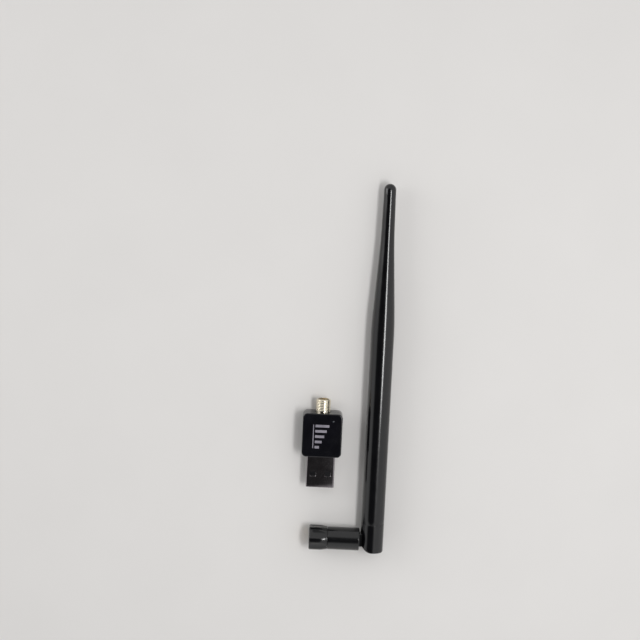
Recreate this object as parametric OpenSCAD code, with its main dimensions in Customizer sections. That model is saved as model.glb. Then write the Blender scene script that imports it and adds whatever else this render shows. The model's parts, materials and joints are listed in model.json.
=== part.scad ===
// USB wifi adapter: a dongle and its unscrewed, hinged antenna, lying side by side.
// Millimetres. +Y runs along the mast and from the USB plug to the antenna jack, +Z is up.
// The origin is the middle of the whole layout, on the surface that it lies on.

/* [Dongle housing] */
// Width of the housing
body_w = 16.9; // [16.8:0.1:19]
// Length of the housing, without the plug and the jack
body_l = 18.9; // [18.8:0.1:26]
// Thickness of the housing
body_t = 9.4; // [7.6:0.1:10]
// Wall thickness of both shells
body_wall = 1; // [0.9:0.05:1.1]
// Corner radius seen from above
body_corner_r = 2; // [1.8:0.1:3.2]
// Rounding of the long and short edges
body_edge_r = 0.45; // [0.3:0.05:0.8]

/* [USB plug] */
// Width of the plug shell
usb_w = 12; // [11.9:0.05:12.1]
// Height of the plug shell
usb_h = 4.5; // [4.4:0.05:4.6]
// Sheet thickness of the plug shell
usb_wall = 0.3; // [0.25:0.05:0.35]
// Outer corner radius of the plug shell's section
usb_corner_r = 0.5; // [0.4:0.05:0.65]
// Length of the plug in front of the housing
usb_reach = 13.7; // [12:0.1:15]
// Distance from the tip to the middle of the latch windows
usb_window_y = 5.9; // [5.5:0.1:7]
// Distance from the middle line to each latch window
usb_window_x = 3.15; // [3:0.05:3.8]

/* [Antenna jack and plug] */
// Outer radius of the jack's thread (1/4-36)
jack_r = 3.175; // [3.15:0.005:3.2]
// Length of the jack behind the housing
jack_reach = 5.6; // [5:0.1:9]
// Radius of the thread inside the coupling nut
nut_bore_r = 3.25; // [3.24:0.005:3.3]
// Outer radius of the coupling nut
nut_r = 4.2; // [4.1:0.05:4.25]
// Radius of the grip at its ridges
grip_r = 5.35; // [5.3:0.05:5.5]
// Length of the grip
grip_l = 7.9; // [7.9:0.05:8]

/* [Antenna] */
// Radius of the knuckle's barrel and of the mast's foot
mast_r = 4.9; // [4.8:0.05:5]
// Distance from the hinge axis to the mouth of the coupling
base_l = 27.2; // [26:0.1:30]
// Height of the mast's foot below the hinge axis
foot_l = 4.9; // [4.9:0.05:5.6]
// Length of the mast, foot to tip
mast_l = 158.25; // [158:0.05:175]
// Distance from the foot at which the taper starts
taper_start = 98.7; // [90:0.1:105]
// Distance from the foot at which the taper ends
taper_end = 134.2; // [130:0.1:138]
// Radius where the taper ends
taper_end_r = 2.85; // [2.7:0.05:3]
// Radius of the round tip
tip_r = 2.5; // [2.4:0.05:2.6]
// Wall thickness of the radome
radome_wall = 1; // [0.9:0.05:1.1]

/* [Hinge] */
// Thickness of the knuckle's tongue
tongue_t = 4.1; // [4:0.05:4.2]
// Half width and end radius of the knuckle's tongue
tongue_r = 2.85; // [2.8:0.05:3.3]
// Height of the fork's slot
slot_t = 4.5; // [4.4:0.05:4.6]
// Radius of the hinge pins
pin_r = 1; // [0.9:0.05:1.1]
// Radial clearance of the hinge pins in the tongue
pin_gap = 0.05; // [0.02:0.01:0.08]

/* [Layout] */
// Hinge axis, to the right of the dongle's middle line
hinge_x = 23.6; // [20:0.1:40]
// Hinge axis, in front of the USB plug's tip
hinge_drop = 22.5; // [21:0.1:30]

/* [Hidden] */
$fn = 48;
cut = 0.1;      // how far a cutter runs past the face that it opens
fit = 0.05;     // gap between two pieces of one assembly

// Dongle, from the plug's tip (y = 0) to the jack's mouth
body_y = usb_reach;
body_end = body_y + body_l;
usb_z = body_t / 2;             // middle height of the plug, the board and the jack
usb_end = body_y + 4;
board_front = usb_end - 1.95;
board_step = usb_end + fit;
board_w = 14.4;
board_t = 0.8;
board_bottom = usb_z + 0.3;
board_top = board_bottom + board_t;
flange_l = 1.6;
flange_y = body_end - body_wall - flange_l - 0.1;
jack_end = body_end + jack_reach;
mouth_depth = 2;                // from the jack's mouth to its reference plane
mouth_chamfer = 0.3;
shank_r = 2.9;
dielectric_r = 2.05;
centre_pin_r = 0.46;
cavity_edge_r = 0.4;
lip_h = 0.6;
lip_t = 0.5;
post_r = 0.7;
post_x = 6.3;
post_y = [body_y + 7, body_y + 14.7];
window_x = 4.5;                 // status light
window_y = body_end - 3.2;
window_r = 0.45;
contact_x = [-3.5, -1, 1, 3.5];
contact_w = 1;
contact_t = 0.25;

// Antenna connector, measured from the coupling's mouth towards the hinge
nut_start = 0.4;
thread_end = 2.8;                // the nose begins just behind it
relief_end = 6;
relief_r = 3.5;
nut_end = 7.2;
grip_lip = 7.3;
grip_bore_r = nut_r + 0.02;
grip_lip_r = 3.6;
flute_r = 6.2;
flute_depth = 0.6;
flutes = 6;
grip_bevel = 0.5;
grip_taper = 3.2;               // the ridges run down to the barrel behind them
nose_start = 2.9;
nose_r = 2.25;
barrel_start = 4.9;             // the jack's mouth stops here
barrel_r = 2.6;
barrel_end = 13.2;
groove_start = 5.3;
groove_w = 0.5;
groove_r = 2.3;
ring_r = 3.1;
socket_r = 0.62;
socket_end = 9;
dielectric_end = 12;
knuckle_start = grip_l + 0.1;
neck_r = grip_lip_r - 0.15;     // the knuckle's neck fills the grip's rear lip
neck_start = nut_end + 0.15;
shoulder = foot_l + 0.65;       // distance from the hinge axis to the knuckle's shoulder

// Mast, measured along +Y from the hinge axis
collar_y = 7.5;                 // seam between the fork and the radome
spigot_l = 6;
spigot_r = mast_r - radome_wall - fit;
slot_r = tongue_r + 0.25;
pin_depth = 3.9;                // how far the pins reach from the mast's middle plane
pin_inner = 1;
coax_r = 0.685;
coax_bore_r = 0.8;
coax_clear = 1.2;               // the coax bends freely this close to the hinge axis
conductor_r = 0.25;
feed_y = 62;                    // feed point of the dipole
sleeve_l = 28;
sleeve_r = 2.2;
sleeve_t = 0.3;
wire_r = 0.4;
coil_start = 90;
coil_l = 12;
coil_r = 1.9;
coil_turns = 5;
coil_steps = 120;
coil_lead = 0.12;               // share of the coil in which it widens, at each end
wire_end = 134;
wire_sides = 8;
spacers = [[29, coax_r, 3.7], [80, wire_r, 3.7], [118, wire_r, 2.1]];   // height, bore, radius
spacer_t = 3;

// The whole layout
axis_z = max(mast_r, grip_r);   // height of the antenna's axes: it lies on the grip
origin_x = (hinge_x + mast_r - body_w / 2) / 2;
origin_y = (mast_l - foot_l - hinge_drop - (hinge_drop + foot_l)) / 2;

// ---- Places ----

// Dongle frame: the plug's tip on the table, +Y towards the jack
module dongle_frame() {
    translate([-origin_x, -origin_y, 0]) children();
}

// Hinge frame: the middle of the hinge, mast along +Y, connector along -X
module hinge_frame() {
    translate([hinge_x - origin_x, -hinge_drop - origin_y, axis_z]) children();
}

// Connector frame: the coupling's mouth, +Z towards the hinge
module connector_frame() {
    hinge_frame() translate([-base_l, 0, 0]) rotate([0, 90, 0]) children();
}

// Turns +Z into +Y
module along_y() {
    rotate([-90, 0, 0]) children();
}

// ---- Shapes ----

module round_rect(w, l, r) {
    square([w, l - 2 * r], center = true);
    square([w - 2 * r, l], center = true);
    for (x = [-1, 1], y = [-1, 1])
        translate([x * (w / 2 - r), y * (l / 2 - r)]) circle(r);
}

// Block centred in x, from y = 0 and z = 0, with rounded corners and rounded edges
module round_block(w, l, t, corner_r, edge_r) {
    translate([0, l / 2, t / 2]) intersection() {
        linear_extrude(t, center = true) round_rect(w, l, corner_r);
        rotate([90, 0, 0]) linear_extrude(l, center = true) round_rect(w, t, edge_r);
        rotate([90, 0, 90]) linear_extrude(w, center = true) round_rect(l, t, edge_r);
    }
}

// Rod along +Z with rounded rims of radius e0 below and e1 above
module round_rod(r, l, e0, e1) {
    rotate_extrude() {
        square([r - e0, l / 2]);
        translate([0, l / 2]) square([r - e1, l / 2]);
        translate([0, e0]) square([r, l - e0 - e1]);
        translate([r - e0, e0]) circle(e0);
        translate([r - e1, l - e1]) circle(e1);
    }
}

// Hole or rod along +Z between two heights
module rod(r, from, to) {
    translate([0, 0, from]) cylinder(r = r, h = to - from);
}

// ---- Dongle ----

module housing_outer() {
    translate([0, body_y, 0]) round_block(body_w, body_l, body_t, body_corner_r, body_edge_r);
}

module housing_cavity() {
    translate([0, body_y + body_wall, body_wall])
        round_block(body_w - 2 * body_wall, body_l - 2 * body_wall, body_t - 2 * body_wall,
                    body_corner_r - body_wall, cavity_edge_r);
}

// Slab of the housing's outline, set in from the outside, between two heights
module outline_slab(inset, z0, z1) {
    translate([0, body_y + body_l / 2, z0]) linear_extrude(z1 - z0)
        round_rect(body_w - 2 * inset, body_l - 2 * inset, body_corner_r - inset);
}

module housing_openings() {
    translate([-usb_w / 2 - fit, body_y - cut, usb_z - usb_h / 2 - fit])
        cube([usb_w + 2 * fit, body_wall + 2 * cut, usb_h + 2 * fit]);
    translate([0, 0, usb_z]) along_y()
        rod(shank_r + 2 * fit, flange_y, body_end + cut);
}

module housing_top() {
    color("#17171a") dongle_frame() {
        difference() {
            housing_outer();
            housing_cavity();
            translate([-body_w, 0, -cut]) cube([2 * body_w, 2 * body_end, usb_z + cut]);
            outline_slab(body_wall - lip_t - fit, usb_z - cut, usb_z + lip_h + fit);
            housing_openings();
            translate([window_x, window_y, 0]) rod(window_r + 0.02, usb_z, body_t + cut);
        }
        for (x = [-post_x, post_x], y = post_y)
            translate([x, y, 0]) rod(post_r, board_top, body_t - body_wall + cut);
    }
}

module housing_bottom() {
    color("#17171a") dongle_frame() {
        difference() {
            union() {
                difference() {
                    housing_outer();
                    translate([-body_w, 0, usb_z]) cube([2 * body_w, 2 * body_end, body_t]);
                }
                outline_slab(body_wall - lip_t, usb_z - cut, usb_z + lip_h);
            }
            housing_cavity();
            housing_openings();
        }
        for (x = [-post_x, post_x], y = post_y)
            translate([x, y, 0]) rod(post_r, body_wall - cut, board_bottom);
    }
}

module circuit_board() {
    color("#1d5a36") dongle_frame() translate([0, 0, board_bottom])
        linear_extrude(board_t) {
            translate([-board_w / 2, board_step]) square([board_w, flange_y - board_step]);
            translate([-5.6, board_front]) square([11.2, board_step - board_front + cut]);
        }
}

// A part that is soldered on the board, centred at x and y
module on_board(x, y, size) {
    translate([x - size.x / 2, y - size.y / 2, board_top]) cube(size);
}

module wifi_chip() {
    color("#222222") dongle_frame() on_board(-1.6, body_y + 9, [6, 6, 0.9]);
}

module crystal_can() {
    color("silver") dongle_frame() on_board(4.4, body_y + 10, [3.2, 2.5, 0.8]);
}

module chip_capacitors() {
    color("#b49a74") dongle_frame() {
        for (i = [0:3]) on_board(-5.6, body_y + 9 + 1.3 * i, [1, 0.5, 0.5]);
        for (i = [0:3]) on_board(-2.4 + 1.6 * i, body_y + 13, [0.5, 1, 0.5]);
    }
}

module chip_resistors() {
    color("#2a2a2c") dongle_frame()
        for (i = [0:4]) on_board(1.8 + 0.85 * i, body_y + 7.2, [0.5, 1, 0.35]);
}

module status_led() {
    color("#f2f2e6") dongle_frame() on_board(window_x, window_y, [1.6, 0.8, 0.6]);
}

module led_window() {
    inside = body_t - body_wall;
    color("#b9d6f2") dongle_frame() translate([window_x, window_y, 0]) {
        rod(window_r, board_top + 0.65, body_t);
        rod(window_r + 0.35, inside - 0.5, inside);
    }
}

// ---- USB plug ----

module usb_section(inset) {
    round_rect(usb_w - 2 * inset, usb_h - 2 * inset, usb_corner_r - inset);
}

module usb_shell() {
    window = [2.5, 2.1];
    color("#c9ccd2") dongle_frame() difference() {
        translate([0, 0, usb_z]) along_y() linear_extrude(usb_end) difference() {
            usb_section(0);
            usb_section(usb_wall);
        }
        for (x = [-usb_window_x, usb_window_x])
            translate([x - window.x / 2, usb_window_y - window.y / 2, 0])
                cube([window.x, window.y, body_t]);
    }
}

// The tongue fills the upper half of the plug and carries the contacts on its underside
module usb_tongue() {
    front = 0.8;
    underside = board_bottom - contact_t - usb_z;
    color("#1c1c1f") dongle_frame() difference() {
        translate([0, front, usb_z]) along_y() linear_extrude(board_front - fit - front)
            intersection() {
                usb_section(usb_wall + 0.02);
                translate([-usb_w / 2, -usb_h]) square([usb_w, usb_h - underside]);
            }
        for (x = contact_x)
            translate([x - contact_w / 2 - 0.01, 1.5, usb_z])
                cube([contact_w + 0.02, usb_end, board_bottom - usb_z]);
    }
}

module usb_contacts() {
    color("#d8b24a") dongle_frame() for (x = contact_x)
        translate([x - contact_w / 2, 1.6, board_bottom - contact_t])
            cube([contact_w, usb_end, contact_t]);
}

// ---- Antenna jack ----

module sma_jack_body() {
    leg = [1, 2.4, 1];
    flange = [6.4, 4.6];
    color("#d9bd7a") dongle_frame() translate([0, 0, usb_z]) {
        difference() {
            union() {
                translate([-flange.x / 2, flange_y, -flange.y / 2]) cube([flange.x, flange_l, flange.y]);
                along_y() rod(shank_r, flange_y + flange_l - cut, body_end);
                along_y() rod(jack_r, body_end, jack_end - mouth_chamfer);
                along_y() translate([0, 0, jack_end - mouth_chamfer])
                    cylinder(r1 = jack_r, r2 = jack_r - mouth_chamfer, h = mouth_chamfer);
            }
            along_y() rod(dielectric_r + 0.02, flange_y - cut, jack_end);
            along_y() rod(nose_r + fit, jack_end - mouth_depth, jack_end + cut);
        }
        for (x = [-1, 1], z = [board_top - usb_z, board_bottom - usb_z - leg.z])
            translate([x * 2.55 - leg.x / 2, flange_y - leg.y, z]) cube([leg.x, leg.y + cut, leg.z]);
    }
}

module sma_jack_dielectric() {
    color("#f4f2ec") dongle_frame() translate([0, 0, usb_z]) along_y() difference() {
        rod(dielectric_r, flange_y + 0.1, jack_end - mouth_depth);
        rod(centre_pin_r + 0.02, flange_y, jack_end);
    }
}

module sma_jack_pin() {
    tail_r = board_bottom - usb_z;
    color("#e0bf62") dongle_frame() translate([0, 0, usb_z]) along_y() {
        rod(centre_pin_r, flange_y + 0.1, jack_end - 0.4);
        rod(tail_r, flange_y - 2.8, flange_y + 0.2);
    }
}

// ---- Antenna base ----

module knuckle() {
    barrel_x = -base_l + knuckle_start;
    color("#151517") hinge_frame() difference() {
        union() {
            translate([barrel_x, 0, 0]) rotate([0, 90, 0])
                round_rod(mast_r, -shoulder - barrel_x, 0.15, 0.35);
            rotate([0, 90, 0]) rod(neck_r, neck_start - base_l, barrel_x + 1);
            linear_extrude(tongue_t, center = true) {
                circle(tongue_r);
                translate([-shoulder - 1, -tongue_r]) square([shoulder + 1, 2 * tongue_r]);
            }
        }
        rotate([0, 90, 0]) rod(barrel_r, neck_start - base_l - cut, barrel_end - base_l);
        rotate([0, 90, 0]) rod(coax_bore_r, barrel_x, 0);
        rod(pin_r + pin_gap, -tongue_t, tongue_t);
        translate([-0.85, -0.85, -0.85]) cube([5, 5, 1.7]);
    }
}

module connector_barrel() {
    color("#cda94f") connector_frame() difference() {
        union() {
            rod(nose_r, nose_start, barrel_start + cut);
            rod(barrel_r, barrel_start, groove_start);
            rod(groove_r, groove_start - cut, groove_start + groove_w + cut);
            rod(barrel_r, groove_start + groove_w, barrel_end);
        }
        rod(dielectric_r + 0.02, nose_start - cut, dielectric_end);
        rod(coax_r + 0.02, dielectric_end - cut, barrel_end + cut);
    }
}

module connector_dielectric() {
    color("#f4f2ec") connector_frame() difference() {
        rod(dielectric_r, nose_start, dielectric_end);
        rod(socket_r + 0.02, nose_start - cut, socket_end);
        rod(conductor_r + 0.02, socket_end - cut, dielectric_end + cut);
    }
}

module connector_socket() {
    color("#e0bf62") connector_frame() difference() {
        rod(socket_r, nose_start + 0.1, socket_end);
        rod(centre_pin_r + 0.01, nose_start, nose_start + 3);
    }
}

module retaining_ring() {
    color("#9a9c9f") connector_frame() translate([0, 0, groove_start + 0.05]) difference() {
        cylinder(r = ring_r, h = groove_w - 0.1);
        translate([0, 0, -cut]) cylinder(r = groove_r + 0.02, h = groove_w + cut);
        translate([0, -0.6, -cut]) cube([ring_r + cut, 1.2, groove_w + cut]);
    }
}

module feed_coax_base() {
    color("#6b3f22") connector_frame() {
        rod(coax_r, dielectric_end, base_l - coax_clear);
        rod(conductor_r, socket_end, dielectric_end + cut);
    }
}

// ---- Coupling ----

module coupling_grip() {
    color("#151517") connector_frame() difference() {
        intersection() {
            linear_extrude(grip_l) difference() {
                circle(grip_r);
                for (i = [0:flutes - 1])
                    rotate((i + 0.5) * 360 / flutes) translate([grip_r - flute_depth + flute_r, 0])
                        circle(flute_r);
            }
            rotate_extrude() polygon([
                [0, 0], [grip_r - grip_bevel, 0], [grip_r, grip_bevel],
                [grip_r, grip_l - grip_taper], [mast_r + 0.1, grip_l - 0.15],
                [mast_r - 0.05, grip_l], [0, grip_l]
            ]);
        }
        rod(grip_bore_r, -cut, grip_lip);
        rod(grip_lip_r, grip_lip - cut, grip_l + cut);
    }
}

module coupling_nut() {
    color("#d2b15c") connector_frame() difference() {
        rod(nut_r, nut_start, nut_end);
        rod(nut_bore_r, nut_start - cut, thread_end);
        rod(relief_r, thread_end - 0.001, relief_end);
        rod(barrel_r + fit, relief_end - cut, nut_end + cut);
    }
}

// ---- Mast ----

// Half section of the mast above the collar, set in from the outside
module mast_section(inset) {
    tip_y = mast_l - foot_l - tip_r;
    polygon([
        [0, collar_y - (inset > 0 ? cut : 0)],
        [mast_r - inset, collar_y - (inset > 0 ? cut : 0)],
        [mast_r - inset, taper_start - foot_l],
        [taper_end_r - inset, taper_end - foot_l],
        [tip_r - inset, tip_y],
        [0, tip_y]
    ]);
    intersection() {
        translate([0, tip_y]) circle(tip_r - inset);
        translate([0, tip_y - 1]) square(tip_r + 1);
    }
}

module mast_radome() {
    color("#151517") hinge_frame() along_y() rotate_extrude() difference() {
        mast_section(0);
        mast_section(radome_wall);
    }
}

// Outline of the fork from above: round towards the elbow, nearly square on the far side
module fork_outline() {
    far_r = 0.8;
    intersection() {
        union() {
            circle(foot_l);
            translate([0, -foot_l + far_r]) square([mast_r, foot_l]);
            translate([0, -foot_l]) square([mast_r - far_r, foot_l]);
            translate([mast_r - far_r, -foot_l + far_r]) circle(far_r);
            translate([-mast_r, 0]) square([2 * mast_r, collar_y]);
        }
        translate([-mast_r, -foot_l]) square([2 * mast_r, foot_l + collar_y]);
    }
}

// The tongue's whole sweep, from the elbow to the straight position
module fork_slot() {
    reach = 2 * foot_l;
    linear_extrude(slot_t, center = true) {
        circle(slot_r);
        translate([-reach, -reach]) square([reach, reach + slot_r]);
        translate([-reach, -reach]) square([reach + slot_r, reach]);
    }
}

module mast_fork() {
    color("#151517") hinge_frame() difference() {
        union() {
            intersection() {
                linear_extrude(2 * mast_r, center = true) fork_outline();
                along_y() rod(mast_r, -foot_l - cut, collar_y);
            }
            along_y() rod(spigot_r, collar_y - cut, collar_y + spigot_l);
        }
        fork_slot();
        rod(pin_r, -pin_depth, pin_depth);
        along_y() rod(coax_bore_r, 0, collar_y + spigot_l + cut);
    }
}

module hinge_pins() {
    color("#3a3a3d") hinge_frame() {
        rod(pin_r, pin_inner, pin_depth);
        rod(pin_r, -pin_depth, -pin_inner);
    }
}

module feed_coax_mast() {
    color("#6b3f22") hinge_frame() along_y() {
        rod(coax_r, coax_clear, feed_y);
        rod(conductor_r, feed_y - cut, feed_y + 1);
    }
}

module dipole_sleeve() {
    color("#c98d4f") hinge_frame() along_y() difference() {
        rod(sleeve_r, feed_y - sleeve_l, feed_y);
        rod(sleeve_r - sleeve_t, feed_y - sleeve_l - cut, feed_y - 0.6);
        rod(coax_r + 0.02, feed_y - 1, feed_y + cut);
    }
}

// One point of the coil and its leads, for t from 0 to 1
function coil_point(t) =
    let (r = coil_r * min(1, t / coil_lead, (1 - t) / coil_lead), a = 360 * coil_turns * t)
    [r * cos(a), coil_start + coil_l * t, r * sin(a)];

// The wire's middle line: a straight rod, the coil, a straight rod
function wire_line() = concat(
    [[0, feed_y + 1, 0]],
    [for (i = [0:coil_steps]) coil_point(i / coil_steps)],
    [[0, wire_end, 0]]
);

function unit(v) = v / norm(v);

// One ring of points round the wire, square to it and turning with the coil
function wire_ring(line, i) =
    let (
        last = len(line) - 1,
        along = unit(line[min(i + 1, last)] - line[max(i - 1, 0)]),
        turn = 360 * coil_turns * max(0, min(1, (i - 1) / coil_steps)),
        outward = [cos(turn), 0, sin(turn)],
        side = unit(outward - (outward * along) * along),
        other = cross(along, side)
    )
    [for (k = [0:wire_sides - 1])
        line[i] + wire_r * (cos(360 * k / wire_sides) * side + sin(360 * k / wire_sides) * other)];

module radiator_wire() {
    line = wire_line();
    rings = len(line);
    points = [for (i = [0:rings - 1]) each wire_ring(line, i)];
    sides = [
        for (i = [0:rings - 2], k = [0:wire_sides - 1])
            let (a = i * wire_sides + k, b = i * wire_sides + (k + 1) % wire_sides)
            each [[a, b, b + wire_sides], [a, b + wire_sides, a + wire_sides]]
    ];
    first_cap = [for (k = [wire_sides - 1:-1:0]) k];
    last_cap = [for (k = [0:wire_sides - 1]) (rings - 1) * wire_sides + k];
    color("#cf7f45") hinge_frame() polyhedron(points, concat(sides, [first_cap, last_cap]));
}

module centering_spacers() {
    color("#e9e6dc") hinge_frame() along_y() for (s = spacers) difference() {
        rod(s[2], s[0], s[0] + spacer_t);
        rod(s[1] + fit, s[0] - cut, s[0] + spacer_t + cut);
    }
}

housing_top();
housing_bottom();
circuit_board();
wifi_chip();
crystal_can();
chip_capacitors();
chip_resistors();
status_led();
led_window();
usb_shell();
usb_tongue();
usb_contacts();
sma_jack_body();
sma_jack_dielectric();
sma_jack_pin();
knuckle();
connector_barrel();
connector_dielectric();
connector_socket();
retaining_ring();
feed_coax_base();
coupling_grip();
coupling_nut();
mast_radome();
mast_fork();
hinge_pins();
feed_coax_mast();
dipole_sleeve();
radiator_wire();
centering_spacers();
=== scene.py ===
"""USB wifi adapter: the looks of the dongle and its unscrewed antenna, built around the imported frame.

Lengths are millimetres in the row frame until make_mesh() turns them into metres.
"""

import json
import math

import bmesh
import bpy
from mathutils import Matrix, Vector


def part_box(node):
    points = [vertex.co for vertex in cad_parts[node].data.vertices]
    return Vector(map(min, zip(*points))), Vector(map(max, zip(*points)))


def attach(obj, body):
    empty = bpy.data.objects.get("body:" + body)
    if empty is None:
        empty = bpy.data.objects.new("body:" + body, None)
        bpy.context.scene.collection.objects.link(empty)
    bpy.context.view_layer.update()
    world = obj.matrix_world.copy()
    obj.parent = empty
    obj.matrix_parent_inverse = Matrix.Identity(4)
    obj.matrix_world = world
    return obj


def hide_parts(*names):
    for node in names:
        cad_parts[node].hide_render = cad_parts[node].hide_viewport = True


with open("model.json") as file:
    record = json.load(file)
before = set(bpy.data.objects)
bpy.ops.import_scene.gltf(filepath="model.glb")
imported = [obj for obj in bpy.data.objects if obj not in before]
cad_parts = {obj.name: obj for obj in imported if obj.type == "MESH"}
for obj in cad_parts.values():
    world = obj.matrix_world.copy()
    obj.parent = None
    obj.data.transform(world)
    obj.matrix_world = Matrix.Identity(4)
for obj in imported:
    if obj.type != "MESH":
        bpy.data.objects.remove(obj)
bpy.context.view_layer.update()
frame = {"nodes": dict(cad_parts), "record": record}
record = frame["record"]

MM = 0.001
ROUND = 128          # steps round a turned piece
SMOOTH_ANGLE = math.radians(32)


# ---------------------------------------------------------------- places

def box_mm(node):
    """Lowest and highest corner of a CAD node, in millimetres."""
    low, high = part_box(node)
    return low / MM, high / MM


def mount_mm(name):
    """A mount's point, in millimetres."""
    found = next(m for m in record["mounts"] if m["name"] == name)
    return Vector(found["pos_m"]) / MM


def joint_mm(name):
    """A joint's point, in millimetres."""
    found = next(j for j in record["behaviour"]["joints"] if j["name"] == name)
    return Vector(found["pos_m"]) / MM


def facing(origin, direction, up=(0, 0, 1)):
    """Matrix that takes local +Z to a direction and local +Y as near to up as it can, at an origin."""
    z = Vector(direction).normalized()
    x = Vector(up).cross(z).normalized()
    y = z.cross(x)
    turn = Matrix((x, y, z)).transposed().to_4x4()
    return Matrix.Translation(origin) @ turn


hinge = joint_mm("mast_fold")
usb_tip = mount_mm("usb_plug")
housing_low = box_mm("housing_bottom")[0]
housing_high = box_mm("housing_top")[1]
shell_low, shell_high = box_mm("usb_shell")
jack_high = box_mm("sma_jack_body")[1]
grip_low, grip_high = box_mm("coupling_grip")
knuckle_low, knuckle_high = box_mm("knuckle")
radome_low, radome_high = box_mm("mast_radome")
fork_low, fork_high = box_mm("mast_fork")

dongle_x = usb_tip.x
dongle_z = usb_tip.z

# Frames of the turned pieces: +Z runs along each piece
jack_frame = facing((dongle_x, housing_high.y, dongle_z), (0, 1, 0))
coupling_frame = facing((grip_low.x, hinge.y, hinge.z), (1, 0, 0))
mast_frame = facing(hinge, (0, 1, 0))


# ---------------------------------------------------------------- meshes

def make_mesh(name, verts, faces):
    """Object from millimetre points in the row frame, shaded smooth up to an angle."""
    mesh = bpy.data.meshes.new(name)
    mesh.from_pydata([Vector(v) * MM for v in verts], [], faces)
    mesh.validate()
    piece = bpy.data.objects.new(name, mesh)
    bpy.context.scene.collection.objects.link(piece)
    tidy(piece)
    return piece


def tidy(piece):
    """Merges double points, turns every face outwards and sets the shading."""
    work = bmesh.new()
    work.from_mesh(piece.data)
    bmesh.ops.remove_doubles(work, verts=work.verts, dist=1e-7)
    bmesh.ops.recalc_face_normals(work, faces=work.faces)
    work.to_mesh(piece.data)
    work.free()
    for face in piece.data.polygons:
        face.use_smooth = True
    piece.data.set_sharp_from_angle(angle=SMOOTH_ANGLE)


def loft(name, rings, place=None, ring_loop=False):
    """Skin over closed rings of points, all of one length, with flat ends.

    ring_loop joins the last ring to the first instead.
    """
    size = len(rings[0])
    verts = [Vector(p) for ring in rings for p in ring]
    if place is not None:
        verts = [place @ v for v in verts]
    faces = []
    count = len(rings)
    for i in range(count if ring_loop else count - 1):
        a, b = i * size, ((i + 1) % count) * size
        for k in range(size):
            n = (k + 1) % size
            faces.append((a + k, a + n, b + n, b + k))
    if not ring_loop:
        faces.append(tuple(range(size - 1, -1, -1)))
        faces.append(tuple((count - 1) * size + k for k in range(size)))
    return make_mesh(name, verts, faces)


def turned(name, profile, place, steps=ROUND, closed=True):
    """Lathe piece: profile is (radius, height) pairs, and a radius may be a function of the angle.

    A closed profile runs back to its start, and an open one gets flat ends.
    """
    rings = []
    for radius, height in profile:
        ring = []
        for k in range(steps):
            a = math.tau * k / steps
            r = radius(a) if callable(radius) else radius
            ring.append((r * math.cos(a), r * math.sin(a), height))
        rings.append(ring)
    return loft(name, rings, place, ring_loop=closed)


def arc(cx, cy, r, start, end, steps):
    """Points on an arc, angles in degrees, both ends included."""
    out = []
    for k in range(steps + 1):
        a = math.radians(start + (end - start) * k / steps)
        out.append((cx + r * math.cos(a), cy + r * math.sin(a)))
    return out


def circle(radius, steps):
    """Points round a circle about the origin."""
    return arc(0, 0, radius, 0, 360 - 360 / steps, steps - 1)


def round_outline(w, l, r, steps):
    """Rounded rectangle about the origin, anticlockwise."""
    x, y = w / 2 - r, l / 2 - r
    return (
        arc(x, y, r, 0, 90, steps)
        + arc(-x, y, r, 90, 180, steps)
        + arc(-x, -y, r, 180, 270, steps)
        + arc(x, -y, r, 270, 360, steps)
    )


def boolean(piece, cutter, operation="DIFFERENCE"):
    """Cuts or joins with another object, which is then removed."""
    step = piece.modifiers.new("boolean", "BOOLEAN")
    step.operation = operation
    step.solver = "EXACT"
    step.object = cutter
    bake(piece)
    bpy.data.objects.remove(cutter)
    tidy(piece)
    return piece


def bake(piece):
    """Applies the piece's modifiers to its mesh."""
    bpy.context.view_layer.update()
    graph = bpy.context.evaluated_depsgraph_get()
    mesh = bpy.data.meshes.new_from_object(piece.evaluated_get(graph))
    old = piece.data
    piece.modifiers.clear()
    piece.data = mesh
    bpy.data.meshes.remove(old)


def block(name, low, high):
    """Plain box, used only as a cutter or to join."""
    (x0, y0, z0), (x1, y1, z1) = low, high
    verts = [(x, y, z) for z in (z0, z1) for y in (y0, y1) for x in (x0, x1)]
    faces = [(0, 2, 3, 1), (4, 5, 7, 6), (0, 1, 5, 4), (2, 6, 7, 3), (0, 4, 6, 2), (1, 3, 7, 5)]
    return make_mesh(name, verts, faces)


def prism(name, outline, z0, z1, place):
    """Outline in local x and y, drawn out along local z."""
    rings = [[(x, y, z0) for x, y in outline], [(x, y, z1) for x, y in outline]]
    return loft(name, rings, place)


def rod(name, radius, z0, z1, place, steps=64):
    """Round rod along local z."""
    return prism(name, circle(radius, steps), z0, z1, place)


def join(name, pieces):
    """Several objects as one, with separate closed skins."""
    work = bmesh.new()
    for piece in pieces:
        work.from_mesh(piece.data)
        bpy.data.objects.remove(piece)
    mesh = bpy.data.meshes.new(name)
    work.to_mesh(mesh)
    work.free()
    whole = bpy.data.objects.new(name, mesh)
    bpy.context.scene.collection.objects.link(whole)
    tidy(whole)
    return whole


# ---------------------------------------------------------------- materials

NOISE_ROUGH = 0.55
NOISE_RANGE = (0.3, 0.7)     # where nearly all of a noise's values lie
PLASTIC_IOR = 1.52


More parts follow.
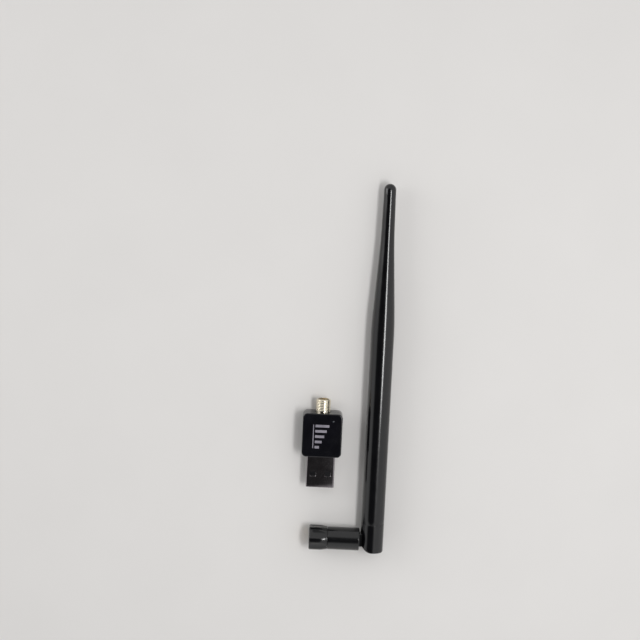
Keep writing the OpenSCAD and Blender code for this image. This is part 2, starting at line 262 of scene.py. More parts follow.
class Shader:
    """Node material with short calls for what the recipes below repeat."""

    def __init__(self, name):
        self.material = bpy.data.materials.new(name)
        self.material.use_nodes = True
        self.tree = self.material.node_tree
        self.bsdf = self.tree.nodes["Principled BSDF"]
        coords = self.tree.nodes.new("ShaderNodeTexCoord")
        self.place = coords.outputs["Object"]

    def set(self, **values):
        """Constant inputs by name, with _ for a space."""
        for key, value in values.items():
            self.bsdf.inputs[key.replace("_", " ")].default_value = value

    def link(self, out, to):
        self.tree.links.new(out, to)

    def noise(self, size_mm, detail, stretch=(1, 1, 1)):
        """Noise whose features are about size_mm across, drawn out along an axis by stretch."""
        mapping = self.tree.nodes.new("ShaderNodeMapping")
        mapping.inputs["Scale"].default_value = [1 / s for s in stretch]
        self.link(self.place, mapping.inputs["Vector"])
        node = self.tree.nodes.new("ShaderNodeTexNoise")
        node.inputs["Scale"].default_value = 1 / (size_mm * MM)
        node.inputs["Detail"].default_value = detail
        node.inputs["Roughness"].default_value = NOISE_ROUGH
        self.link(mapping.outputs[0], node.inputs["Vector"])
        return node.outputs["Fac"]

    def spread(self, value, low, high):
        """Spreads a noise's values over low..high."""
        node = self.tree.nodes.new("ShaderNodeMapRange")
        node.inputs["From Min"].default_value = NOISE_RANGE[0]
        node.inputs["From Max"].default_value = NOISE_RANGE[1]
        node.inputs["To Min"].default_value = low
        node.inputs["To Max"].default_value = high
        self.link(value, node.inputs["Value"])
        return node.outputs[0]

    def mix(self, factor, dark, light):
        """Colour between dark and light."""
        node = self.tree.nodes.new("ShaderNodeMix")
        node.data_type = "RGBA"
        self.link(factor, node.inputs["Factor"])
        node.inputs[6].default_value = (*dark, 1)
        node.inputs[7].default_value = (*light, 1)
        return node.outputs[2]

    def bump(self, height, depth_mm, strength, under=None):
        """Bump of the surface, on top of another bump where one is given."""
        node = self.tree.nodes.new("ShaderNodeBump")
        node.inputs["Strength"].default_value = strength
        node.inputs["Distance"].default_value = depth_mm * MM
        self.link(height, node.inputs["Height"])
        if under is not None:
            self.link(under, node.inputs["Normal"])
        self.link(node.outputs[0], self.bsdf.inputs["Normal"])
        return node.outputs[0]


def moulded_plastic(name, dark, light, roughness, grain_mm=0.12, grain_depth=0.004):
    """Moulded plastic: faint colour drift, handled patches that shine more, and a fine grain."""
    s = Shader(name)
    drift = s.spread(s.noise(6, 2), 0, 1)
    s.link(s.mix(drift, dark, light), s.bsdf.inputs["Base Color"])
    patches = s.spread(s.noise(3.5, 4), roughness * 0.85, roughness * 1.2)
    s.link(patches, s.bsdf.inputs["Roughness"])
    s.set(IOR=PLASTIC_IOR)
    flow = s.bump(s.noise(9, 1), 0.02, 0.5)
    s.bump(s.noise(grain_mm, 4), grain_depth, 0.6, under=flow)
    return s.material


def plated_metal(name, dark, light, roughness, brush=(1, 14, 1), brush_mm=0.06):
    """Plated or turned metal: colour drift, fine marks drawn out along one axis, and dull patches."""
    s = Shader(name)
    drift = s.spread(s.noise(2.2, 3), 0, 1)
    s.link(s.mix(drift, dark, light), s.bsdf.inputs["Base Color"])
    marks = s.noise(brush_mm, 4, stretch=brush)
    s.link(s.spread(marks, roughness * 0.8, roughness * 1.35), s.bsdf.inputs["Roughness"])
    s.set(Metallic=1.0)
    s.bump(marks, 0.0025, 0.5)
    return s.material


housing_plastic = moulded_plastic("housing_plastic", (0.0018, 0.0018, 0.0032), (0.0032, 0.0032, 0.0052), 0.15)
antenna_plastic = moulded_plastic("antenna_plastic", (0.0018, 0.0019, 0.0024), (0.0032, 0.0033, 0.0040), 0.16)
tongue_plastic = moulded_plastic("tongue_plastic", (0.004, 0.004, 0.005), (0.007, 0.007, 0.008), 0.22)
ptfe = moulded_plastic("ptfe", (0.80, 0.79, 0.75), (0.86, 0.85, 0.82), 0.5)
nylon = moulded_plastic("nylon", (0.02, 0.02, 0.022), (0.03, 0.03, 0.033), 0.45)
spacer_foam = moulded_plastic("spacer_foam", (0.70, 0.68, 0.60), (0.80, 0.78, 0.72), 0.7, 0.3, 0.03)
coax_jacket = moulded_plastic("coax_jacket", (0.20, 0.085, 0.035), (0.26, 0.11, 0.05), 0.3)
clear_plastic = moulded_plastic("clear_plastic", (0.020, 0.024, 0.028), (0.030, 0.034, 0.040), 0.12)
led_plastic = moulded_plastic("led_plastic", (0.80, 0.78, 0.55), (0.86, 0.85, 0.70), 0.25)
board_mask = moulded_plastic("board_mask", (0.010, 0.09, 0.035), (0.016, 0.13, 0.05), 0.3, 0.5, 0.01)
chip_epoxy = moulded_plastic("chip_epoxy", (0.012, 0.012, 0.013), (0.02, 0.02, 0.021), 0.6, 0.08, 0.006)
capacitor_body = moulded_plastic("capacitor_body", (0.35, 0.24, 0.13), (0.45, 0.33, 0.2), 0.5)
resistor_body = moulded_plastic("resistor_body", (0.02, 0.02, 0.022), (0.035, 0.035, 0.04), 0.35)
mark_ink = moulded_plastic("mark_ink", (0.15, 0.14, 0.17), (0.25, 0.235, 0.27), 0.5, 0.2, 0.006)

nickel = plated_metal("nickel", (0.27, 0.245, 0.26), (0.38, 0.355, 0.37), 0.11, (10, 1, 1))
jack_gold = plated_metal("jack_gold", (0.78, 0.71, 0.56), (0.88, 0.82, 0.68), 0.16, (1, 1, 1), 0.2)
contact_gold = plated_metal("contact_gold", (0.80, 0.56, 0.22), (0.90, 0.68, 0.32), 0.22)
brass = plated_metal("brass", (0.66, 0.48, 0.22), (0.76, 0.58, 0.30), 0.26, (1, 1, 1), 0.15)
spring_steel = plated_metal("spring_steel", (0.42, 0.42, 0.43), (0.55, 0.55, 0.56), 0.3)
can_metal = plated_metal("can_metal", (0.60, 0.60, 0.60), (0.72, 0.72, 0.72), 0.28)
copper = plated_metal("copper", (0.70, 0.36, 0.20), (0.82, 0.46, 0.28), 0.3)


def finish_piece(piece, material, slot, body, *nodes):
    """Gives a piece its material, and lets it ride on its body in place of CAD nodes. slot is not used."""
    piece.data.materials.clear()
    piece.data.materials.append(material)
    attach(piece, body)
    if nodes:
        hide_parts(*nodes)
    return piece


def paint_node(node, material):
    """New material on a CAD node that keeps its own mesh."""
    mesh = frame["nodes"][node].data
    mesh.materials.clear()
    mesh.materials.append(material)


# ---------------------------------------------------------------- camera

VIEW_WIDTH = 270.848         # what the view takes in at its middle
VIEW_CENTRE = usb_tip + Vector((-3.16, 72.07, 0.1))
LEAN = math.radians(2.65)    # the layout leans clockwise in the picture
ELEVATION = math.radians(82.0)
CAMERA_AWAY = 620.0


def add_camera():
    """Camera that looks down steeply from beyond the mast's tip, with the layout's middle in view."""
    up = Vector((-math.sin(LEAN), math.cos(LEAN), 0))
    back = up * math.cos(ELEVATION) + Vector((0, 0, math.sin(ELEVATION)))
    data = bpy.data.cameras.new("camera")
    camera = bpy.data.objects.new("camera", data)
    bpy.context.scene.collection.objects.link(camera)
    right = up.cross(back).normalized()
    true_up = back.cross(right)
    turn = Matrix((right, true_up, back)).transposed().to_4x4()
    camera.matrix_world = Matrix.Translation((VIEW_CENTRE + back * CAMERA_AWAY) * MM) @ turn
    data.lens = data.sensor_width * CAMERA_AWAY / VIEW_WIDTH
    data.clip_start = 0.01
    data.clip_end = 20
    bpy.context.scene.camera = camera


add_camera()


# ---------------------------------------------------------------- dongle housing

WALL = 1.0
PLUG_R = 0.5
CORNER_R = 2.0
LEAST_CORNER_R = 0.25
EDGE_R = 0.45
INNER_EDGE_R = 0.5
SEAM_Z = (housing_low.z + housing_high.z) / 2
SEAM_CHAMFER = 0.09
HOUSING_W = housing_high.x - housing_low.x
HOUSING_L = housing_high.y - housing_low.y
HOUSING_Y = (housing_high.y + housing_low.y) / 2
SHANK_R = 3.0                # of the jack, where it passes through the rear wall
POST_X = 6.3                 # from the housing's middle line
POST_R = 0.7
POST_Y = (7.0, 14.7)         # from the front of the housing
BOARD_LOW, BOARD_HIGH = box_mm("circuit_board")


def shell_ring(inset, z):
    """Outline of the housing set in by inset, at height z."""
    r = max(CORNER_R - inset, LEAST_CORNER_R)
    outline = round_outline(HOUSING_W - 2 * inset, HOUSING_L - 2 * inset, r, 12)
    return [(dongle_x + x, HOUSING_Y + y, z) for x, y in outline]


def half_shell(name, outer_z, side):
    """One half of the housing. side is +1 for the upper half and -1 for the lower."""
    inner_steps, outer_steps = 4, 6
    face_support = 0.12          # ring that keeps the shading of the flat face flat
    ceiling = outer_z - side * WALL
    rings = [shell_ring(WALL + INNER_EDGE_R, ceiling)]
    for k in range(1, inner_steps + 1):
        a = math.radians(90 * k / inner_steps)
        inset = WALL + INNER_EDGE_R * (1 - math.sin(a))
        rings.append(shell_ring(inset, ceiling - side * INNER_EDGE_R * (1 - math.cos(a))))
    rings.append(shell_ring(WALL, SEAM_Z))
    rings.append(shell_ring(SEAM_CHAMFER, SEAM_Z))
    rings.append(shell_ring(0, SEAM_Z + side * SEAM_CHAMFER))
    for k in range(outer_steps + 1):
        a = math.radians(90 * k / outer_steps)
        inset = EDGE_R * (1 - math.cos(a))
        rings.append(shell_ring(inset, outer_z - side * EDGE_R * (1 - math.sin(a))))
    rings.append(shell_ring(EDGE_R + face_support, outer_z))
    return loft(name, rings)


def cut_openings(shell):
    """Front opening for the plug and rear hole for the jack, both with a small lead-in."""
    plug = facing((dongle_x, housing_low.y, dongle_z), (0, 1, 0))
    width = shell_high.x - shell_low.x
    height = shell_high.z - shell_low.z
    past = 0.5                   # how far a cutter runs past the wall
    mouth_gap, gap_inside, lead_in = 0.22, 0.06, 0.16
    sections = [(-past, mouth_gap), (0, mouth_gap), (lead_in, gap_inside), (WALL + past, gap_inside)]
    rings = []
    for depth, gap in sections:
        outline = round_outline(width + 2 * gap, height + 2 * gap, PLUG_R + gap, 6)
        rings.append([(x, y, depth) for x, y in outline])
    boolean(shell, loft("plug_cutter", rings, plug))
    flare_r, flare_from, flare_to = SHANK_R + 0.42, -0.3, 0.12
    profile = [(SHANK_R, -WALL - past), (SHANK_R, flare_from), (flare_r, flare_to), (flare_r, past)]
    rings = []
    for radius, depth in profile:
        rings.append([(x, y, depth) for x, y in circle(radius, 64)])
    boolean(shell, loft("jack_cutter", rings, jack_frame))


def add_posts(shell, z0, z1):
    """Posts that clamp the board, joined to the shell."""
    for x in (-POST_X, POST_X):
        for y in POST_Y:
            place = Matrix.Translation((dongle_x + x, housing_low.y + y, 0))
            boolean(shell, rod("post", POST_R, z0, z1, place, 32), "UNION")


def make_housing():
    """Both halves, each with its posts and openings, and the light pipe's hole in the upper one."""
    light_hole_r = 0.5
    window_low, window_high = box_mm("led_window")
    window = (window_low + window_high) / 2
    top = half_shell("housing_top_shell", housing_high.z, 1)
    add_posts(top, BOARD_HIGH.z, housing_high.z - WALL / 2)
    cut_openings(top)
    place = Matrix.Translation((window.x, window.y, 0))
    boolean(top, rod("light_hole", light_hole_r, SEAM_Z, housing_high.z + 1, place, 32))
    finish_piece(top, housing_plastic, "black_abs", "dongle", "housing_top")

    bottom = half_shell("housing_bottom_shell", housing_low.z, -1)
    add_posts(bottom, housing_low.z + WALL / 2, BOARD_LOW.z)
    cut_openings(bottom)
    finish_piece(bottom, housing_plastic, "black_abs", "dongle", "housing_bottom")


def make_light_window():
    """Light pipe with a domed end that stands in its hole."""
    low, high = box_mm("led_window")
    place = Matrix.Translation(((low.x + high.x) / 2, (low.y + high.y) / 2, 0))
    centre_r, pipe_r, flange_r, bevel = 0.02, 0.45, 0.80, 0.05
    flange_top = housing_high.z - WALL
    flange_low = flange_top - 0.5
    dome = [(pipe_r, 0.16), (0.42, 0.07), (0.30, 0.02), (centre_r, 0)]    # radius and depth under the top
    profile = [(centre_r, low.z), (pipe_r - bevel, low.z), (pipe_r, low.z + bevel), (pipe_r, flange_low)]
    profile += [(flange_r, flange_low), (flange_r, flange_top), (pipe_r, flange_top)]
    profile += [(radius, high.z - depth) for radius, depth in dome]
    piece = turned("light_window", profile, place, 40, closed=False)
    finish_piece(piece, clear_plastic, "light_pipe", "dongle", "led_window")


def make_printed_mark():
    """Generic print on the upper face: signal bars that grow towards the jack, beside a thin rule."""
    sunk, proud, corner_r = 0.02, 0.015, 0.16
    z0, z1 = housing_high.z - sunk, housing_high.z + proud
    bars, pitch, bar_l = 5, 2.3, 1.1
    shortest, growth = 1.9, 1.0
    rule_gap, rule_w = 0.6, 0.35
    left = -3.0                  # where the bars start, from the housing's middle line
    first_y = HOUSING_Y - 5.6    # where the bar nearest the plug starts
    parts = []
    for k in range(bars):
        y = first_y + pitch * k
        parts.append((left, y, left + shortest + growth * k, y + bar_l))
    rule_x = left - rule_gap - rule_w
    parts.append((rule_x, first_y, rule_x + rule_w, first_y + pitch * (bars - 1) + bar_l))
    pieces = []
    for x0, y0, x1, y1 in parts:
        outline = round_outline(x1 - x0, y1 - y0, corner_r, 4)
        place = Matrix.Translation((dongle_x + (x0 + x1) / 2, (y0 + y1) / 2, 0))
        pieces.append(prism("bar", outline, z0, z1, place))
    mark = join("printed_mark", pieces)
    finish_piece(mark, mark_ink, "black_abs", "dongle")


# ---------------------------------------------------------------- USB plug

SHEET = 0.3                  # thickness of the folded sheet
WINDOW_X = 3.15
WINDOW_Y = 5.9               # from the plug's tip
WINDOW_W = 2.5
WINDOW_L = 2.1
WINDOW_R = 0.35


def make_usb_shell():
    """Folded sheet shell with a rolled mouth, latch windows on both faces and a seam underneath."""
    place = facing((dongle_x, shell_low.y, dongle_z), (0, 1, 0))
    length = shell_high.y - shell_low.y
    width = shell_high.x - shell_low.x
    height = shell_high.z - shell_low.z
    inner_r = 0.2
    roll = SHEET / 2
    lip, lip_end = 0.06, 0.9     # how far the rolled mouth stands inside the sheet, and its depth
    stretches, roll_steps = 8, 6

    def ring(inset, depth):
        outline = round_outline(width - 2 * inset, height - 2 * inset, max(PLUG_R - inset, inner_r), 8)
        return [(x, y, depth) for x, y in outline]

    rings = [ring(0, length * k / stretches) for k in range(stretches, 0, -1)]
    for k in range(roll_steps + 1):
        a = math.radians(180 * k / roll_steps)
        rings.append(ring((roll + lip / 2) * (1 - math.cos(a)), roll * (1 - math.sin(a))))
    rings.append(ring(SHEET, lip_end))
    rings += [ring(SHEET, length * k / stretches) for k in range(1, stretches + 1)]
    shell = loft("plug_shell", rings, place, ring_loop=True)

    face = height / 2
    bevel = 0.12
    sections = [(face - 0.8, 0), (face - 0.10, 0), (face + 0.02, bevel), (face + 0.5, bevel)]
    for side in (-1, 1):
        for x in (-WINDOW_X, WINDOW_X):
            middle = Matrix.Translation((dongle_x + x, usb_tip.y + WINDOW_Y, dongle_z))
            hole = []
            for depth, gap in sections:
                outline = round_outline(WINDOW_W + 2 * gap, WINDOW_L + 2 * gap, WINDOW_R + gap, 5)
                hole.append([(px, py, side * depth) for px, py in outline])
            boolean(shell, loft("window_cutter", hole, middle))
    seam_w, seam_depth = 0.08, 0.08
    cutter = block(
        "seam_cutter",
        (dongle_x - seam_w / 2, shell_low.y - 1, shell_low.z - 1),
        (dongle_x + seam_w / 2, shell_high.y + 1, shell_low.z + seam_depth),
    )
    boolean(shell, cutter)
    finish_piece(shell, nickel, "nickel_plate", "dongle", "usb_shell")


# ---------------------------------------------------------------- antenna jack and coupling

THREAD_PITCH = 25.4 / 36
THREAD_STEPS = 10            # rings in one pitch
THREAD_FLAT = 0.14           # share of half a pitch that is flat at the root, and again at the crest


def thread_wave(phase):
    """Height of a thread at a phase: 1 on the crest, 0 in the root, with short flats on both."""
    t = abs((phase % 1.0) - 0.5) * 2
    return min(1, max(0, (t - THREAD_FLAT) / (1 - 2 * THREAD_FLAT)))


def ramp(value, start, end):
    """Smooth step from 0 at start to 1 at end."""
    t = min(1, max(0, (value - start) / (end - start)))
    return t * t * (3 - 2 * t)


def make_jack():
    """Gold jack with a real helical thread, a turned mouth and the flange and legs behind the wall."""
    reach = jack_high.y - housing_high.y
    crest, depth = 3.175, 0.22
    relief = 0.1                 # how far the plain stretches stand below the crests
    bore_r, shank_r, mouth_r, mouth_depth = 2.09, 2.9, 2.3, 2.0
    thread_from, run_in = 0.5, 0.4
    thread_to, run_out = reach - 0.25, 0.3

    def outer(height):
        starting = ramp(height, thread_from, thread_from + run_in)
        ending = ramp(height, thread_to - run_out, thread_to)
        cover = starting * (1 - ending)

        def radius(a):
            wave = thread_wave(height / THREAD_PITCH - a / math.tau)
            return crest - depth * cover * (1 - wave) - relief * (1 - cover)

        return radius

    flange_y = box_mm("sma_jack_dielectric")[0].y - 0.1 - housing_high.y
    profile = [(bore_r, flange_y), (shank_r, flange_y), (shank_r, -0.02), (shank_r + 0.1, 0.02)]
    rows = int(reach / THREAD_PITCH * THREAD_STEPS)
    first, last = 0.06, reach - 0.26
    for k in range(rows + 1):
        height = first + (last - first) * k / rows
        profile.append((outer(height), height))
    profile += [(crest - 0.12, reach - 0.2), (crest - 0.3, reach - 0.03), (crest - 0.4, reach)]
    profile += [(mouth_r + 0.12, reach), (mouth_r + 0.02, reach - 0.1)]
    profile += [(mouth_r, reach - mouth_depth), (bore_r, reach - mouth_depth)]
    jack = turned("antenna_jack", profile, jack_frame)

    flange_w, flange_h, flange_t = 6.4, 4.6, 1.6
    back = housing_high.y + flange_y
    plate = block(
        "flange",
        (dongle_x - flange_w / 2, back, dongle_z - flange_h / 2),
        (dongle_x + flange_w / 2, back + flange_t, dongle_z + flange_h / 2),
    )
    boolean(jack, plate, "UNION")
    boolean(jack, rod("bore", bore_r, flange_y - 1, flange_y + flange_t + 0.1, jack_frame))
    leg_x, leg_w, leg_h = 2.55, 1.0, 1.0
    leg_y = box_mm("sma_jack_body")[0].y
    for x in (dongle_x - leg_x, dongle_x + leg_x):
        for z0, z1 in ((BOARD_HIGH.z, BOARD_HIGH.z + leg_h), (BOARD_LOW.z - leg_h, BOARD_LOW.z)):
            leg = block("leg", (x - leg_w / 2, leg_y, z0), (x + leg_w / 2, back + 0.3, z1))
            boolean(jack, leg, "UNION")
    finish_piece(jack, jack_gold, "jack_gold", "dongle", "sma_jack_body")


FLUTES = 6
LAND = 1 / 3                 # share of the grip's round that is left between the hollows


def grip_radius(a, base, depth):
    """Outside of the fluted grip: round lands, one of them on top, and wide hollows between them."""
    turn = (a / math.tau * FLUTES + 0.5) % 1.0
    from_middle = abs(turn - 0.5) * 2    # 0 in the middle of a hollow, 1 in the middle of a land
    across = min(1, from_middle / (1 - LAND))
    return base - depth * (1 - across ** 2)


def make_grip():
    """Fluted plastic grip: six wide flutes, and ridges that run down to the barrel behind them."""
    length = grip_high.x - grip_low.x
    base = (grip_high.z - grip_low.z) / 2
    depth, mouth_share, run_in = 0.6, 0.55, 1.4     # the flutes start at a share of their depth
    taper, rear = 3.2, MAST_R + 0.06
    bore, lip, lip_at = 4.22, 3.6, 7.3
    mouth_r, rear_r = 0.5, 0.15
    round_steps, rows = 5, 14

    def outside(height, inset):
        ridge = base - (base - rear) * ramp(height, length - taper, length)
        hollow = depth * (mouth_share + (1 - mouth_share) * ramp(height, 0, run_in))
        return lambda a: min(ridge, grip_radius(a, base, hollow)) - inset

    profile = []
    for k in range(round_steps + 1):
        a = math.radians(90 * k / round_steps)
        profile.append((outside(0, mouth_r * (1 - math.sin(a))), mouth_r * (1 - math.cos(a))))
    for k in range(1, rows):
        height = mouth_r + (length - mouth_r - rear_r) * k / rows
        profile.append((outside(height, 0), height))
    for k in range(round_steps + 1):
        a = math.radians(90 * k / round_steps)
        profile.append((outside(length, rear_r * (1 - math.cos(a))), length - rear_r * (1 - math.sin(a))))
    profile += [(lip, length), (lip, lip_at), (bore, lip_at), (bore, 0.3), (bore + 0.2, 0.05)]
    grip = turned("coupling_grip_fluted", profile, coupling_frame, 24 * FLUTES)
    finish_piece(grip, antenna_plastic, "antenna_black", "coupling", "coupling_grip")


def make_nut():
    """Brass nut with a real internal thread and a flange behind it."""
    outer, minor, root, relief, hole = 4.2, 2.9, 3.25, 3.5, 2.65
    start, thread_end, relief_end, end = 0.4, 2.8, 6.0, 7.2
    bevel, countersink, run_in, run_out = 0.1, 0.15, 0.5, 0.4
    rows = int((thread_end - start) / THREAD_PITCH * THREAD_STEPS)
    profile = [(hole, end), (outer, end), (outer, start + bevel), (outer - bevel, start)]
    profile.append((root + countersink, start))
    first = start + countersink
    for k in range(rows + 1):
        height = first + (thread_end - first) * k / rows
        starting = ramp(height, start, start + run_in)
        ending = ramp(height, thread_end - run_out, thread_end)
        cover = starting * (1 - ending)

        def radius(a, height=height, cover=cover):
            return root - (root - minor) * cover * thread_wave(height / THREAD_PITCH - a / math.tau)

        profile.append((radius, height))
    profile += [(relief, thread_end + 0.05), (relief, relief_end), (hole, relief_end)]
    nut = turned("coupling_nut_threaded", profile, coupling_frame, 96)
    finish_piece(nut, brass, "brass", "coupling", "coupling_nut")


# ---------------------------------------------------------------- knuckle and mast

MAST_R = (knuckle_high.z - knuckle_low.z) / 2
NECK_R = 3.45                # of the knuckle, inside the grip's rear lip
TONGUE_T = 4.1
TONGUE_R = 2.85
COAX_R = 0.8
AXIS_R = 0.05                # where a turned solid's flat end closes near its axis
FOOT = hinge.y - fork_low.y  # how far the mast reaches past the hinge
SHOULDER = FOOT + 0.65       # from the hinge to the knuckle's barrel
SLOT_T = 4.5
SLOT_R = TONGUE_R + 0.25
VOXEL = 0.13
RELAX_ROUNDS = 5


def soften(piece):
    """Remeshes a cut solid evenly and relaxes it, so that every edge gets a small round."""
    piece.data.transform(Matrix.Scale(1 / MM, 4))
    step = piece.modifiers.new("remesh", "REMESH")
    step.mode = "VOXEL"
    step.voxel_size = VOXEL
    relax = piece.modifiers.new("relax", "SMOOTH")
    relax.factor = 0.5
    relax.iterations = RELAX_ROUNDS
    bake(piece)
    piece.data.transform(Matrix.Scale(MM, 4))
    for face in piece.data.polygons:
        face.use_smooth = True


def true_round(piece, place, radius):
    """Moves points that lie nearly on a cylinder about place's z axis back onto it."""
    reach = 0.05
    back = place.inverted()
    for vert in piece.data.vertices:
        p = back @ (vert.co / MM)
        r = math.hypot(p.x, p.y)
        miss = abs(r - radius)
        if miss < reach:
            pull = 1 - ramp(miss, reach * 0.6, reach)
            scale = 1 + (radius / r - 1) * pull
            p.x *= scale
            p.y *= scale
            vert.co = (place @ p) * MM


def make_knuckle():
    """Round barrel that holds the connector: a neck in the grip's rear lip, and a flat tongue behind."""
    neck = knuckle_low.x - grip_low.x
    start = grip_high.x - grip_low.x + 0.1      # clear of the grip
    shoulder = hinge.x - SHOULDER - grip_low.x
    front_r, rear_r = 0.15, 0.35
    barrel_bore_r, barrel_bore_end, coax_from = 2.6, 13.2, 12
    pin_bore_r, pin_reach = 1.05, 3
    pocket, pocket_reach = 0.85, 5
    profile = [(AXIS_R, neck), (NECK_R, neck), (NECK_R, start), (MAST_R - front_r, start)]
    profile += [(x, start + y) for x, y in arc(MAST_R - front_r, front_r, front_r, -90, 0, 5)]
    profile += arc(MAST_R - rear_r, shoulder - rear_r, rear_r, 0, 90, 8)
    profile.append((AXIS_R, shoulder))
    knuckle = turned("knuckle_body", profile, coupling_frame, ROUND, closed=False)
    outline = arc(0, 0, TONGUE_R, -90, 90, 24) + [(-SHOULDER - 1, TONGUE_R), (-SHOULDER - 1, -TONGUE_R)]
    tongue = prism("tongue", outline, -TONGUE_T / 2, TONGUE_T / 2, Matrix.Translation(hinge))
    boolean(knuckle, tongue, "UNION")
    boolean(knuckle, rod("barrel_bore", barrel_bore_r, neck - 1, barrel_bore_end, coupling_frame))
    boolean(knuckle, rod("coax_bore", COAX_R, coax_from, hinge.x - grip_low.x, coupling_frame, 32))
    boolean(knuckle, rod("pin_bore", pin_bore_r, -pin_reach, pin_reach, Matrix.Translation(hinge), 32))
    low = hinge - Vector((pocket, pocket, pocket))
    boolean(knuckle, block("coax_pocket", low, low + Vector((pocket_reach, pocket_reach, 2 * pocket))))
    soften(knuckle)
    true_round(knuckle, coupling_frame, MAST_R)
    finish_piece(knuckle, antenna_plastic, "antenna_black", "antenna_base", "knuckle")


def foot_height(x):
    """How far the fork's foot reaches at x from the mast's middle line: round on the elbow side."""
    far_r = 0.8
    if x < 0:
        return -math.sqrt(max(FOOT * FOOT - x * x, 0))
    over = x - (MAST_R - far_r)
    if over > 0:
        return -FOOT + far_r - math.sqrt(max(far_r * far_r - over * over, 0))
    return -FOOT


def make_fork():
    """Foot of the mast: a round rod whose end is trimmed, slotted for the knuckle's tongue."""
    spigot_r, spigot_l = 3.75, 6.0
    pin_hole_r, pin_reach = 1.0, 3.9
    collar = fork_high.y - hinge.y - spigot_l
    rings = []
    for share in (0.02, 0.2, 0.4, 0.6, 0.75, 0.86, 0.93, 0.97, 1.0):
        rings.append([(x, z, foot_height(x)) for x, z in circle(MAST_R * share, ROUND)])
    for radius, height in [(MAST_R, collar), (spigot_r, collar), (spigot_r, collar + spigot_l)]:
        rings.append([(x, z, height) for x, z in circle(radius, ROUND)])
    fork = loft("mast_fork_body", rings, facing(hinge, (0, 1, 0), (0, 0, -1)))
    reach = 2 * FOOT             # past the foot on every side
    at_hinge = Matrix.Translation(hinge)
    slot = arc(0, 0, SLOT_R, 0, 90, 20) + [(-reach, SLOT_R), (-reach, -reach), (SLOT_R, -reach)]
    boolean(fork, prism("slot", slot, -SLOT_T / 2, SLOT_T / 2, at_hinge))
    boolean(fork, rod("pin_hole", pin_hole_r, -pin_reach, pin_reach, at_hinge, 32))
    boolean(fork, rod("coax_hole", COAX_R, 0, collar + spigot_l + 1, mast_frame, 32))
    soften(fork)
    true_round(fork, mast_frame, MAST_R)
    finish_piece(fork, antenna_plastic, "antenna_black", "mast", "mast_fork")


TAPER_START = 98.7           # from the mast's foot
TAPER_END = 134.2
TAPER_END_R = 2.85
TIP_R = 2.5
MAST_WALL = 1.0


def mast_radius(s):
    """Outer radius of the mast at distance s above its foot: straight, tapered, then nearly straight.

    The mean of nine places round s blends the corners between the stretches.
    """
    tip_start = radome_high.y - hinge.y - TIP_R + FOOT
    points = [(0, MAST_R), (TAPER_START, MAST_R), (TAPER_END, TAPER_END_R), (tip_start, TIP_R)]
    blend, half = 5.0, 4
    total = 0
    for k in range(-half, half + 1):
        at = min(max(s + blend * k / half, 0), tip_start)
        for (s0, r0), (s1, r1) in zip(points, points[1:]):
            if s0 <= at <= s1:
                total += r0 + (r1 - r0) * (at - s0) / (s1 - s0)
                break
    return total / (2 * half + 1)


def make_radome():
    """Hollow tapered tube with a domed tip and a fine groove where it meets the fork."""
    tip = radome_high.y - hinge.y
    seam = radome_low.y - hinge.y
    groove = 0.16
    rows, inner_step, dome_steps = 70, 4, 9
    profile = [(MAST_R - groove, seam), (MAST_R - 0.05, seam + 0.03), (MAST_R, seam + groove)]
    for k in range(1, rows + 1):
        height = seam + groove + (tip - TIP_R - seam - groove) * k / rows
        profile.append((mast_radius(height + FOOT), height))
    for k in range(1, dome_steps):
        a = math.radians(90 * k / dome_steps)
        profile.append((TIP_R * math.cos(a), tip - TIP_R + TIP_R * math.sin(a)))
    profile.append((AXIS_R, tip))
    inner = [(AXIS_R, tip - MAST_WALL)]
    for k in range(rows, -1, -inner_step):
        height = seam + (tip - TIP_R - seam) * k / rows
        inner.append((mast_radius(height + FOOT) - MAST_WALL, height))
    inner.append((MAST_R - MAST_WALL, seam))
    radome = turned("mast_radome_tube", profile + inner, mast_frame)
    finish_piece(radome, antenna_plastic, "antenna_black", "mast", "mast_radome")


# ---------------------------------------------------------------- build

make_housing()
make_light_window()
make_printed_mark()
make_usb_shell()
make_jack()
make_grip()
make_nut()
make_knuckle()
make_fork()
make_radome()

NODE_FINISHES = {
    "circuit_board": board_mask,
    "wifi_chip": chip_epoxy,
    "crystal_can": can_metal,
    "chip_capacitors": capacitor_body,
    "chip_resistors": resistor_body,
    "status_led": led_plastic,
    "usb_tongue": tongue_plastic,
    "usb_contacts": contact_gold,
    "sma_jack_dielectric": ptfe,
    "sma_jack_pin": contact_gold,
    "connector_barrel": brass,
    "connector_dielectric": ptfe,
    "connector_socket": contact_gold,
    "retaining_ring": spring_steel,
    "feed_coax_base": coax_jacket,
    "hinge_pins": nylon,
    "feed_coax_mast": coax_jacket,
    "dipole_sleeve": copper,
    "radiator_wire": copper,
    "centering_spacers": spacer_foam,
}
for node, material in NODE_FINISHES.items():
    paint_node(node, material)


# ---------------------------------------------------------------- studio

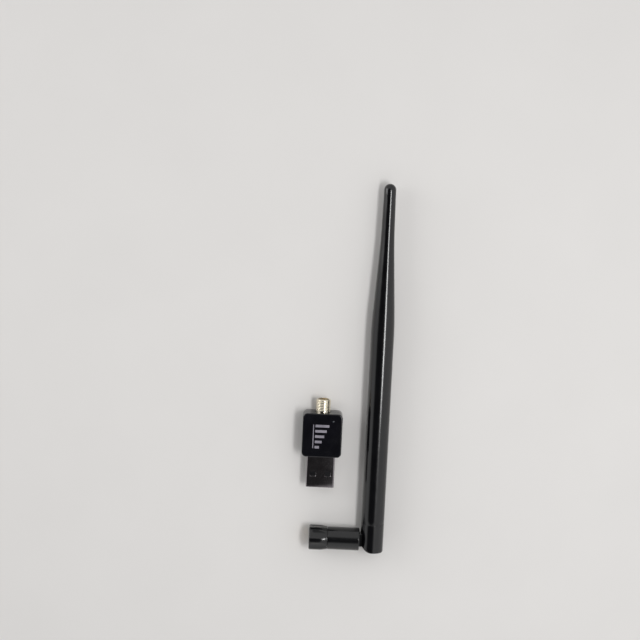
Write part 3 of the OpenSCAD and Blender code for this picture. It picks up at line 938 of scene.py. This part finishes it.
def add_floor():
    """Light grey card that the layout lies on."""
    half = 1500
    z = -0.02                    # clear of the faces that rest on it
    corners = [(-half, -half, z), (half, -half, z), (half, half, z), (-half, half, z)]
    floor = make_mesh("floor", corners, [(0, 1, 2, 3)])
    s = Shader("floor_card")
    s.link(s.mix(s.noise(40, 2), (0.655, 0.64, 0.626), (0.685, 0.67, 0.656)), s.bsdf.inputs["Base Color"])
    s.set(Roughness=0.75)
    floor.data.materials.append(s.material)


def overhead(lean_x, lean_y):
    """Direction that leans from straight up towards +X and +Y, in degrees."""
    return Vector((math.tan(math.radians(lean_x)), math.tan(math.radians(lean_y)), 1)).normalized()


def add_softbox(name, direction, away, size, radiance):
    """Panel that faces the middle of the layout. Its size runs across and along the layout."""
    data = bpy.data.lights.new(name, "AREA")
    data.shape = "RECTANGLE"
    data.size, data.size_y = size[0] * MM, size[1] * MM
    data.energy = radiance * math.pi * data.size * data.size_y
    light = bpy.data.objects.new(name, data)
    bpy.context.scene.collection.objects.link(light)
    light.matrix_world = facing(Vector(direction) * away * MM, direction, (0, 1, 0))
    light.visible_camera = False


def add_world(flag, inner, outer, dark, bright):
    """Even grey room with a dark round flag overhead, soft from its inner to its outer angle."""
    world = bpy.data.worlds.new("studio")
    world.use_nodes = True
    tree = world.node_tree
    back = tree.nodes["Background"]
    coords = tree.nodes.new("ShaderNodeTexCoord")
    toward = tree.nodes.new("ShaderNodeVectorMath")
    toward.operation = "DOT_PRODUCT"
    toward.inputs[1].default_value = flag
    fade = tree.nodes.new("ShaderNodeMapRange")
    fade.interpolation_type = "SMOOTHSTEP"
    fade.inputs["From Min"].default_value = math.cos(math.radians(outer))
    fade.inputs["From Max"].default_value = math.cos(math.radians(inner))
    fade.inputs["To Min"].default_value = bright
    fade.inputs["To Max"].default_value = dark
    tree.links.new(coords.outputs["Generated"], toward.inputs[0])
    tree.links.new(toward.outputs["Value"], fade.inputs["Value"])
    tree.links.new(fade.outputs[0], back.inputs["Strength"])
    back.inputs["Color"].default_value = (1, 1, 1, 1)
    bpy.context.scene.world = world


add_floor()
add_softbox("strip_light", overhead(21, 0), 640, (90, 280), 21.0)
add_softbox("left_softbox", (-0.93, 0.30, 0.21), 600, (700, 240), 2.4)
add_world(overhead(-20, -5), 26, 42, 0.03, 0.9)

view = bpy.context.scene.view_settings
view.view_transform = "Standard"
view.look = "None"
